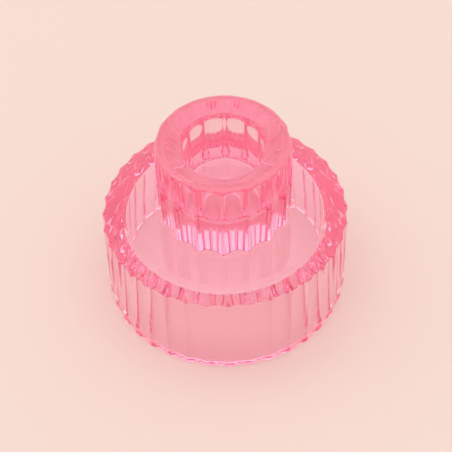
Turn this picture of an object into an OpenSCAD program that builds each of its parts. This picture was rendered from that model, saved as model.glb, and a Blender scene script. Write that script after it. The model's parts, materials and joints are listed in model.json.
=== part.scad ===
// Two-tier fluted glass candlestick: a wide hollow drum foot with a narrower
// fluted collar fused on top of it. The collar holds a taper candle.
// Units are millimetres, +Z is up, the origin is the centre of the foot ring.

/* [Drum] */
// Radius over the flute ridges of the drum
drum_r = 35.5; // [35:0.1:38]
// Height of the flat top plate above the table
drum_h = 31; // [28:0.2:34]
// Height of the drum edge, where the shoulder cone starts
drum_edge_z = 28.7; // [26.5:0.1:29.5]
// Rounding of the drum edge
drum_edge_round = 0.6; // [0.3:0.1:1]
// Radius of the flat top plate, where the shoulder cone ends
plate_r = 29.4; // [28:0.1:31]
// Number of flutes round the drum
drum_flutes = 36; // [30:1:40]
// Depth of a drum flute below its ridges
drum_flute_depth = 0.75; // [0.4:0.05:1]
// Radius of the arc that forms a drum flute
drum_flute_arc_r = 6.9; // [6:0.1:9]
// Bevel round the outside of the foot
drum_foot_bevel = 0.3; // [0.2:0.1:1]

/* [Cavity] */
// Radius of the cavity at its ceiling
cavity_top_r = 28.7; // [27:0.1:30]
// Radius of the cavity at its mouth
cavity_mouth_r = 31; // [30:0.1:32]
// Thickness of the top plate above the cavity
plate_t = 5.5; // [4:0.1:8]
// Rounding where the cavity wall meets its ceiling
cavity_round = 0.6; // [0.4:0.1:2]

/* [Collar] */
// Radius over the flute ridges of the collar
collar_r = 19.1; // [18.6:0.1:20]
// Height of the rim crest above the table
total_h = 57.2; // [54:0.2:60]
// Number of flutes round the collar
collar_flutes = 16; // [14:1:18]
// Depth of a collar flute below its ridges at the foot of the collar
collar_flute_depth = 1.5; // [0.8:0.1:1.8]
// Depth of a collar flute at the rim, where it has almost run out
collar_flute_rim_depth = 0.7; // [0.4:0.1:1]
// Radius of the arc that forms a collar flute
collar_flute_arc_r = 5.4; // [5:0.1:7]
// Width of the rounded outer edge of the rim
rim_round_w = 2.7; // [1.5:0.1:3.5]
// Height of the rounded outer edge of the rim
rim_round_h = 2; // [1:0.1:3]
// Turn of the collar flutes about the vertical axis
collar_turn = -2.6; // [-11:0.1:11]

/* [Candle socket] */
// Diameter of the straight socket bore
socket_d = 23; // [21.5:0.1:24]
// Height of the socket floor above the table
socket_floor_z = 38.8; // [36:0.2:41]
// Width of the round between the socket wall and its floor
socket_round_w = 1.6; // [0.6:0.1:2.5]
// Height of the round between the socket wall and its floor
socket_round_h = 4; // [1:0.2:5]
// Diameter of the flared mouth, at the foot of the dished rim
mouth_d = 24.4; // [24.2:0.1:27]
// Depth of the flared mouth below the dished rim
mouth_depth = 1.2; // [0.8:0.1:4]
// Depth of the dished rim below its crest
rim_dish = 1.6; // [0.4:0.1:2]

/* [Quality] */
// Facets used to preview round surfaces
facets = 96; // [48:8:160]

/* [Hidden] */
socket_r = socket_d / 2;
mouth_r = mouth_d / 2;
cavity_ceiling_z = drum_h - plate_t;
drum_side_h = drum_edge_z - drum_edge_round;
drum_cutter_x = drum_r - drum_flute_depth + drum_flute_arc_r;
collar_cutter_x = collar_r - collar_flute_depth + collar_flute_arc_r;
mouth_top_z = total_h - rim_dish;
rim_crest_r = collar_r - rim_round_w;
collar_flute_lean = atan((collar_flute_depth - collar_flute_rim_depth) / (total_h - drum_h));
overshoot = 2;
round_steps = 5;
glass_color = [0.98, 0.5, 0.62, 0.55];

// Points of a convex quarter round of width w and height h centred on (cx, cz),
// from the side to the top.
function quarter(cx, cz, w, h) =
    [for (i = [0 : round_steps]) [cx + w * cos(90 * i / round_steps),
                                  cz + h * sin(90 * i / round_steps)]];

// Solid of revolution of the drum, before fluting and hollowing: upright side,
// small rounded edge, shallow cone up to the flat plate.
module drum_blank() {
    rotate_extrude($fn = facets)
        polygon(concat(
            [[0, 0], [drum_r - drum_foot_bevel, 0], [drum_r, drum_foot_bevel]],
            quarter(drum_r - drum_edge_round, drum_side_h, drum_edge_round, drum_edge_round),
            [[plate_r, drum_h], [0, drum_h]]));
}

// Upright arc flutes of the drum.
module drum_flute_cutters() {
    for (i = [0 : drum_flutes - 1])
        rotate([0, 0, (i + 0.5) * 360 / drum_flutes - 90])
            translate([drum_cutter_x, 0, -overshoot])
                cylinder(r = drum_flute_arc_r, h = drum_h + 2 * overshoot, $fn = facets);
}

// Room under the drum, wider at the mouth, with a rounded ceiling edge.
module cavity() {
    rotate_extrude($fn = facets)
        polygon(concat(
            [[0, -overshoot], [cavity_mouth_r, -overshoot], [cavity_mouth_r, 0]],
            quarter(cavity_top_r - cavity_round, cavity_ceiling_z - cavity_round,
                    cavity_round, cavity_round),
            [[0, cavity_ceiling_z]]));
}

// Wide hollow foot: fluted wall and top plate.
module drum() {
    color(glass_color)
        difference() {
            drum_blank();
            drum_flute_cutters();
            cavity();
        }
}

// Solid of revolution of the collar, before fluting and boring.
module collar_blank() {
    rotate_extrude($fn = facets)
        polygon(concat(
            [[0, drum_h], [collar_r, drum_h]],
            quarter(rim_crest_r, total_h - rim_round_h, rim_round_w, rim_round_h),
            [[0, total_h]]));
}

// Arc flutes of the collar, leaning outwards so that they grow shallower upwards.
module collar_flute_cutters() {
    for (i = [0 : collar_flutes - 1])
        rotate([0, 0, (i + 0.5) * 360 / collar_flutes - 90 + collar_turn])
            translate([collar_cutter_x, 0, drum_h])
                rotate([0, collar_flute_lean, 0])
                    translate([0, 0, -overshoot])
                        cylinder(r = collar_flute_arc_r, h = total_h - drum_h + 2 * overshoot,
                                 $fn = facets);
}

// Straight blind bore for the candle, with a rounded foot.
module socket_bore() {
    translate([0, 0, socket_floor_z + socket_round_h])
        cylinder(r = socket_r, h = total_h - socket_floor_z - socket_round_h + overshoot,
                 $fn = facets);
    translate([0, 0, 2 * socket_floor_z + 2 * socket_round_h])
        mirror([0, 0, 1])
            rotate_extrude($fn = facets)
                polygon(concat(
                    [[0, socket_floor_z + socket_round_h], [socket_r, socket_floor_z + socket_round_h]],
                    quarter(socket_r - socket_round_w, socket_floor_z + socket_round_h,
                            socket_round_w, socket_round_h),
                    [[0, socket_floor_z + 2 * socket_round_h]]));
}

// Flare that leads the candle into the bore.
module socket_mouth() {
    translate([0, 0, mouth_top_z - mouth_depth])
        cylinder(r1 = socket_r, r2 = mouth_r, h = mouth_depth, $fn = facets);
}

// Shallow dish of the rim, from its crest in to the mouth.
module rim_hollow() {
    translate([0, 0, mouth_top_z])
        cylinder(r1 = mouth_r, r2 = rim_crest_r, h = rim_dish, $fn = facets);
}

// Fluted collar with the candle socket.
module collar() {
    color(glass_color)
        difference() {
            collar_blank();
            collar_flute_cutters();
            socket_bore();
            socket_mouth();
            rim_hollow();
        }
}

drum();
collar();
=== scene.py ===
# Pink pressed-glass candlestick: a fluted hollow drum with a fluted candle collar on top.
import json
import math

import bmesh
import bpy
import numpy as np
from mathutils import Matrix, Vector


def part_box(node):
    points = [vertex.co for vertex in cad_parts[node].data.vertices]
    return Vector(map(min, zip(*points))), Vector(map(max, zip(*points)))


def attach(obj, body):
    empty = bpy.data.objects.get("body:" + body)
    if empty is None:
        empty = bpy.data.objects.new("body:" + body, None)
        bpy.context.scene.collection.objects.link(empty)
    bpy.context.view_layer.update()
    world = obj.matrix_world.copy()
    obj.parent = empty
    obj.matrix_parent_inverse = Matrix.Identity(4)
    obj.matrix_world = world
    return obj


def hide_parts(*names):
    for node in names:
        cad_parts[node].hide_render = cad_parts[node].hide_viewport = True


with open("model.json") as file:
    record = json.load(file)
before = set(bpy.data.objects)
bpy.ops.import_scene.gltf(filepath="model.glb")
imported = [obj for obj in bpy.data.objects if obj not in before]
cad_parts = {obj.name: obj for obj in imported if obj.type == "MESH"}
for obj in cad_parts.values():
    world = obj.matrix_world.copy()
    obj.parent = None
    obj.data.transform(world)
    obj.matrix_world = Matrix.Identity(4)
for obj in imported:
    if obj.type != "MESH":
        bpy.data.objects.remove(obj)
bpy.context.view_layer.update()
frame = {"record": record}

MM = 0.001
scene = bpy.context.scene

# ---------------------------------------------------------------- sizes from the frame
drum_lo, drum_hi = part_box("drum")
_, collar_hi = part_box("collar")
socket = next(m for m in frame["record"]["mounts"] if m["name"] == "candle_socket")
DRUM_R = (drum_hi[0] - drum_lo[0]) / 2          # over the flute ridges
DRUM_H = drum_hi[2]
TOTAL_H = collar_hi[2]
SOCKET_R = socket["dims"]["r_mm"] * MM

# ---------------------------------------------------------------- sizes of the look
# flutes: number, depth, radius of the hollow, and how far the ridges between them are blunted
DRUM_FLUTES, DRUM_DEPTH, DRUM_ARC, DRUM_BLUNT = 36, 0.7 * MM, 6.9 * MM, 0.6 * MM
COLLAR_FLUTES, COLLAR_DEPTH, COLLAR_ARC, COLLAR_BLUNT = 16, 1.5 * MM, 5.4 * MM, 0.3 * MM
COLLAR_RIM_DEPTH = 0.7 * MM            # depth of a collar flute at the rim
FIRST_RIDGE = -math.pi / 2             # a ridge of the drum faces -Y
COLLAR_TURN = math.radians(-2.6)
# drum: foot, shoulder and plate
FOOT_ROUND = 0.5 * MM
PLATE_R, EDGE_Z, EDGE_ROUND = 29.4 * MM, 28.7 * MM, 0.6 * MM
RIPPLE_FADE = 2                        # power by which the flutes run out on the shoulder cone
# cavity under the drum
CAVITY_TOP_R, CAVITY_MOUTH_R = 28.7 * MM, 31.0 * MM
CEILING_Z, CAVITY_ROUND, CAVITY_FOOT_ROUND = DRUM_H - 5.5 * MM, 0.6 * MM, 0.7 * MM
CEILING_RADII = (2.0, 6, 10, 14, 18, 22, 25)       # rows across the ceiling, in mm
# collar: foot, rim and socket
COLLAR_R, COLLAR_FOOT_ROUND, COLLAR_SKIRT = 19.1 * MM, 0.35 * MM, 1.2 * MM
RIM_W, RIM_H, RIM_DISH = 2.7 * MM, 2.0 * MM, 1.6 * MM
RIM_BLEND, DISH_CURVE = 0.15 * MM, 1.2
LIP_ROUND, MOUTH_R, MOUTH_DEPTH, MOUTH_CURVE = 0.4 * MM, 12.2 * MM, 1.2 * MM, 1.5
FLOOR_Z, FLOOR_ROUND_W, FLOOR_ROUND_H = 38.8 * MM, 1.6 * MM, 4.0 * MM
FLOOR_RADII = (8.0, 5.5, 3.0, 1.5)                 # rows across the socket floor, in mm
# spacing of the points round the axis
STEPS_PER_FLUTE = 12
MIN_STEP = math.radians(0.08)


def smin(a, b, k):
    """Smooth minimum with blend width k."""
    h = np.clip(0.5 + 0.5 * (b - a) / k, 0, 1)
    return b * (1 - h) + a * h - k * h * (1 - h)


def outline(theta, n, r, depth, arc, turn):
    """Distance from the axis to a ring of n concave flutes, before the ridges are blunted."""
    pitch = 2 * math.pi / n
    phi = (theta - turn) % pitch - pitch / 2
    c = r - depth + arc
    return c * np.cos(phi) - np.sqrt(np.maximum(arc ** 2 - (c * np.sin(phi)) ** 2, 0))


def ridge_samples(n, turn, half, count):
    """Angles packed round each ridge, where the glass turns fastest."""
    pitch = 2 * math.pi / n
    u = np.linspace(-1, 1, count)
    return np.concatenate([turn + i * pitch + half * np.sign(u) * np.abs(u) ** 1.5 for i in range(n)])


angles = np.concatenate([
    np.linspace(0, 2 * math.pi, DRUM_FLUTES * STEPS_PER_FLUTE, endpoint=False) + FIRST_RIDGE,
    ridge_samples(DRUM_FLUTES, FIRST_RIDGE, math.radians(1.6), 7),
    ridge_samples(COLLAR_FLUTES, FIRST_RIDGE + COLLAR_TURN, math.radians(4.0), 11)]) % (2 * math.pi)
angles = np.unique(np.round(angles, 5))
angles = angles[np.concatenate([[True], np.diff(angles) > MIN_STEP])]


def blunted(n, r, depth, arc, turn, k):
    """How deep the flutes go at each angle, with the ridges between them blunted by k."""
    line = outline(angles, n, r, depth, arc, turn)
    return r - smin(line, np.full_like(line, r), k)


drum_cut = blunted(DRUM_FLUTES, DRUM_R, DRUM_DEPTH, DRUM_ARC, FIRST_RIDGE, DRUM_BLUNT)
collar_cut = blunted(COLLAR_FLUTES, COLLAR_R, COLLAR_DEPTH, COLLAR_ARC,
                     FIRST_RIDGE + COLLAR_TURN, COLLAR_BLUNT)

# ---------------------------------------------------------------- the glass, row by row
rows = []


def ring(r, z, cut=None, share=1.0):
    """Add one row of points; a fluted row is sunk by a share of the depth of its flutes."""
    rr = r - share * cut if cut is not None else np.full_like(angles, r)
    rows.append(np.stack([rr * np.cos(angles), rr * np.sin(angles), np.full_like(angles, z)], 1))


def arc_points(cx, cz, a, b, start, end, count):
    """Radius and height of the points of an elliptic arc, between two angles in degrees."""
    return [(cx + a * math.cos(t), cz + b * math.sin(t))
            for t in np.linspace(math.radians(start), math.radians(end), count)]


# underside: ceiling centre outwards, down the cavity wall to the foot ring
for r in CEILING_RADII:
    ring(r * MM, CEILING_Z)
cavity_top_z = CEILING_Z - CAVITY_ROUND
for r, z in arc_points(CAVITY_TOP_R - CAVITY_ROUND, cavity_top_z, CAVITY_ROUND, CAVITY_ROUND, 90, 0, 9):
    ring(r, z)
for t in np.linspace(0, 1, 8)[1:]:
    z = cavity_top_z * (1 - t) + CAVITY_FOOT_ROUND * t
    ring(CAVITY_TOP_R + (CAVITY_MOUTH_R - CAVITY_TOP_R) * t, z)
foot_r = CAVITY_MOUTH_R + CAVITY_FOOT_ROUND
for r, z in arc_points(foot_r, CAVITY_FOOT_ROUND, CAVITY_FOOT_ROUND, CAVITY_FOOT_ROUND, 180, 270, 5)[1:]:
    ring(r, z)
ring((foot_r + DRUM_R - DRUM_DEPTH) / 2, 0)
# outside of the drum, up to the shoulder
for r, z in arc_points(DRUM_R - FOOT_ROUND, FOOT_ROUND, FOOT_ROUND, FOOT_ROUND, -90, 0, 6):
    ring(r, z, drum_cut)
sweep = math.pi / 2 - math.atan2(DRUM_H - EDGE_Z, DRUM_R - PLATE_R)
side_top = EDGE_Z - EDGE_ROUND * math.tan(sweep / 2)
for t in np.linspace(0, 1, 14)[1:-1]:
    ring(DRUM_R, FOOT_ROUND + (side_top - FOOT_ROUND) * t, drum_cut)
# small rounded edge, then a shallow cone up to the flat plate
for r, z in arc_points(DRUM_R - EDGE_ROUND, side_top, EDGE_ROUND, EDGE_ROUND, 0, math.degrees(sweep), 8):
    ring(r, z, drum_cut)
cone_r, cone_z = r, z
for t in np.linspace(0, 1, 12)[1:]:
    ring(cone_r + (PLATE_R - cone_r) * t, cone_z + (DRUM_H - cone_z) * t, drum_cut, (1 - t) ** RIPPLE_FADE)
# top plate in to the foot of the collar
for t in (0.02, 0.35, 0.65, 0.95):
    ring(PLATE_R * (1 - t) + (COLLAR_R + COLLAR_SKIRT) * t, DRUM_H)
for r, z in arc_points(COLLAR_FOOT_ROUND, COLLAR_FOOT_ROUND, COLLAR_FOOT_ROUND, COLLAR_FOOT_ROUND,
                       270, 180, 5):
    ring(COLLAR_R + r, DRUM_H + z, collar_cut)


def fade(z):
    """Share of its full depth that a collar flute has at height z."""
    return 1 + (COLLAR_RIM_DEPTH / COLLAR_DEPTH - 1) * (z - DRUM_H) / (TOTAL_H - DRUM_H)


# collar wall: flutes that grow shallower upwards and end in low arches on the rounded rim
rim_z = TOTAL_H - RIM_H
for t in np.linspace(0, 1, 18)[1:-1]:
    z = DRUM_H + COLLAR_FOOT_ROUND + (rim_z - DRUM_H - COLLAR_FOOT_ROUND) * t
    ring(COLLAR_R, z, collar_cut, fade(z))
crest_r = COLLAR_R - RIM_W
for r, z in arc_points(crest_r, rim_z, RIM_W, RIM_H, 0, 90, 26):
    wall = COLLAR_R - collar_cut * fade(z)
    ring(r, z, r - smin(wall, np.full_like(collar_cut, r), RIM_BLEND))
# dished rim, mouth, bore and floor
mouth_z = TOTAL_H - RIM_DISH
bore_top_z = mouth_z - MOUTH_DEPTH
for t in np.linspace(0, 1, 6)[1:]:
    ring(crest_r + (MOUTH_R + LIP_ROUND - COLLAR_R + RIM_W) * t, TOTAL_H - RIM_DISH * t ** DISH_CURVE)
for r, z in arc_points(MOUTH_R + LIP_ROUND, mouth_z - LIP_ROUND, LIP_ROUND, LIP_ROUND, 90, 160, 7)[1:]:
    ring(r, z)
lip_r, lip_z = r, z
for t in np.linspace(0, 1, 9)[1:]:
    ring(SOCKET_R + (lip_r - SOCKET_R) * (1 - t) ** MOUTH_CURVE, lip_z + (bore_top_z - lip_z) * t)
for t in np.linspace(0, 1, 8)[1:-1]:
    ring(SOCKET_R, bore_top_z * (1 - t) + (FLOOR_Z + FLOOR_ROUND_H) * t)
for r, z in arc_points(SOCKET_R - FLOOR_ROUND_W, FLOOR_Z + FLOOR_ROUND_H,
                       FLOOR_ROUND_W, FLOOR_ROUND_H, 0, -90, 12):
    ring(r, z)
for r in FLOOR_RADII:
    ring(r * MM, FLOOR_Z)

# ---------------------------------------------------------------- one closed mesh
n = len(angles)
verts = np.concatenate(rows + [[[0, 0, CEILING_Z]], [[0, 0, FLOOR_Z]]])
ceiling_centre, floor_centre = len(rows) * n, len(rows) * n + 1
faces = []
for j in range(len(rows) - 1):
    a, b = j * n, (j + 1) * n
    for i in range(n):
        k = (i + 1) % n
        faces.append((a + i, a + k, b + k, b + i))
last_row = (len(rows) - 1) * n
for i in range(n):
    k = (i + 1) % n
    faces.append((ceiling_centre, k, i))
    faces.append((floor_centre, last_row + i, last_row + k))
mesh = bpy.data.meshes.new("glass_body")
mesh.from_pydata(verts.tolist(), [], faces)
mesh.validate()
for p in mesh.polygons:
    p.use_smooth = True
glass = bpy.data.objects.new("glass_body", mesh)
scene.collection.objects.link(glass)


# ---------------------------------------------------------------- materials
def node_material(name):
    """New node material, with its nodes and links."""
    m = bpy.data.materials.new(name)
    m.use_nodes = True
    return m, m.node_tree.nodes, m.node_tree.links


# clear glass with a faint moulding ripple, pink partly at its surface and partly in its volume
glass_mat, nodes, links = node_material("pink_glass")
bsdf = nodes["Principled BSDF"]
bsdf.inputs["Base Color"].default_value = (1.0, 0.85, 0.91, 1)
bsdf.inputs["Roughness"].default_value = 0.05
bsdf.inputs["IOR"].default_value = 1.5
bsdf.inputs["Transmission Weight"].default_value = 1.0
coords = nodes.new("ShaderNodeTexCoord")
ripple = nodes.new("ShaderNodeTexNoise")
ripple.inputs["Scale"].default_value = 140
ripple.inputs["Detail"].default_value = 3
bump = nodes.new("ShaderNodeBump")
bump.inputs["Strength"].default_value = 0.06
bump.inputs["Distance"].default_value = 0.0006
links.new(coords.outputs["Object"], ripple.inputs["Vector"])
links.new(ripple.outputs["Fac"], bump.inputs["Height"])
links.new(bump.outputs["Normal"], bsdf.inputs["Normal"])
absorb = nodes.new("ShaderNodeVolumeAbsorption")
absorb.inputs["Color"].default_value = (1.0, 0.2, 0.5, 1)
absorb.inputs["Density"].default_value = 23
links.new(absorb.outputs["Volume"], nodes["Material Output"].inputs["Volume"])
mesh.materials.append(glass_mat)

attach(glass, "root")
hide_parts("drum", "collar")

# ---------------------------------------------------------------- floor
FLOOR_SIZE, FLOOR_DROP = 3.0, 0.00002      # half width, and the gap that keeps it off the foot
bm = bmesh.new()
bmesh.ops.create_grid(bm, x_segments=2, y_segments=2, size=FLOOR_SIZE)
floor_mesh = bpy.data.meshes.new("floor")
bm.to_mesh(floor_mesh)
bm.free()
floor = bpy.data.objects.new("floor", floor_mesh)
floor.location = (0, 0, -FLOOR_DROP)
scene.collection.objects.link(floor)
floor_mat, floor_nodes, _ = node_material("floor_paper")
floor_bsdf = floor_nodes["Principled BSDF"]
floor_bsdf.inputs["Base Color"].default_value = (0.70, 0.597, 0.537, 1)
floor_bsdf.inputs["Roughness"].default_value = 0.8
floor_bsdf.inputs["Specular IOR Level"].default_value = 0.1
floor_mesh.materials.append(floor_mat)

# ---------------------------------------------------------------- light
# studio surround: a warm, dimmer tone up to mid height that turns to bright white overhead
world = bpy.data.worlds.new("studio")
scene.world = world
world.use_nodes = True
world_nodes, world_links = world.node_tree.nodes, world.node_tree.links
background = world_nodes["Background"]
background.inputs["Strength"].default_value = 1.0
sky = world_nodes.new("ShaderNodeTexCoord")
split = world_nodes.new("ShaderNodeSeparateXYZ")
height = world_nodes.new("ShaderNodeMapRange")
height.inputs["From Min"].default_value = 0.55
height.inputs["From Max"].default_value = 1.0
tint = world_nodes.new("ShaderNodeMix")
tint.data_type = "RGBA"
tint.inputs["A"].default_value = (0.98, 0.80, 0.77, 1)
tint.inputs["B"].default_value = (1.85, 1.85, 1.85, 1)
world_links.new(sky.outputs["Generated"], split.inputs["Vector"])
world_links.new(split.outputs["Z"], height.inputs["Value"])
world_links.new(height.outputs["Result"], tint.inputs["Factor"])
world_links.new(tint.outputs["Result"], background.inputs["Color"])

# soft key light from the left, high up, aimed at the middle of the drum
KEY_PLACE, KEY_AIM, KEY_SIZE, KEY_POWER = (-0.9, 0.3, 1.0), (0, 0, 0.02), 0.7, 0.8
key_data = bpy.data.lights.new("key", "AREA")
key_data.energy = KEY_POWER
key_data.size = KEY_SIZE
key = bpy.data.objects.new("key", key_data)
key.location = KEY_PLACE
key.rotation_euler = (Vector(KEY_AIM) - Vector(KEY_PLACE)).to_track_quat("-Z", "Y").to_euler()
scene.collection.objects.link(key)

# ---------------------------------------------------------------- camera
# distance and aim are in drum radii
ELEVATION, DISTANCE, AIM = math.radians(51.7), 12.0, (0.004, 0, 0.597)
ROLL, FOCAL, FRAME_W, SENSOR = math.radians(-1.78), 1399, 452, 36
UNIT = 35.5 * MM
pos = Vector((0, -DISTANCE * math.cos(ELEVATION), DISTANCE * math.sin(ELEVATION))) * UNIT
aim = Vector(AIM) * UNIT
cam_data = bpy.data.cameras.new("camera")
cam_data.lens = FOCAL / FRAME_W * SENSOR
cam_data.sensor_width = SENSOR
cam_data.clip_start = 0.01
cam = bpy.data.objects.new("camera", cam_data)
forward = (aim - pos).normalized()
right = forward.cross(Vector((0, 0, 1))).normalized()
up = right.cross(forward)
right, up = (math.cos(ROLL) * right + math.sin(ROLL) * up,
             -math.sin(ROLL) * right + math.cos(ROLL) * up)
turn = Matrix((right, up, -forward)).transposed()
cam.matrix_world = Matrix.Translation(pos) @ turn.to_4x4()
scene.collection.objects.link(cam)
scene.camera = cam

# ---------------------------------------------------------------- render
scene.view_settings.view_transform = "Standard"
scene.view_settings.look = "None"
scene.cycles.max_bounces = 32
scene.cycles.transmission_bounces = 32
scene.cycles.glossy_bounces = 16
scene.cycles.diffuse_bounces = 4
scene.cycles.volume_bounces = 0
scene.cycles.sample_clamp_indirect = 0
scene.cycles.blur_glossy = 0               # blurred paths lose the light that comes through the glass
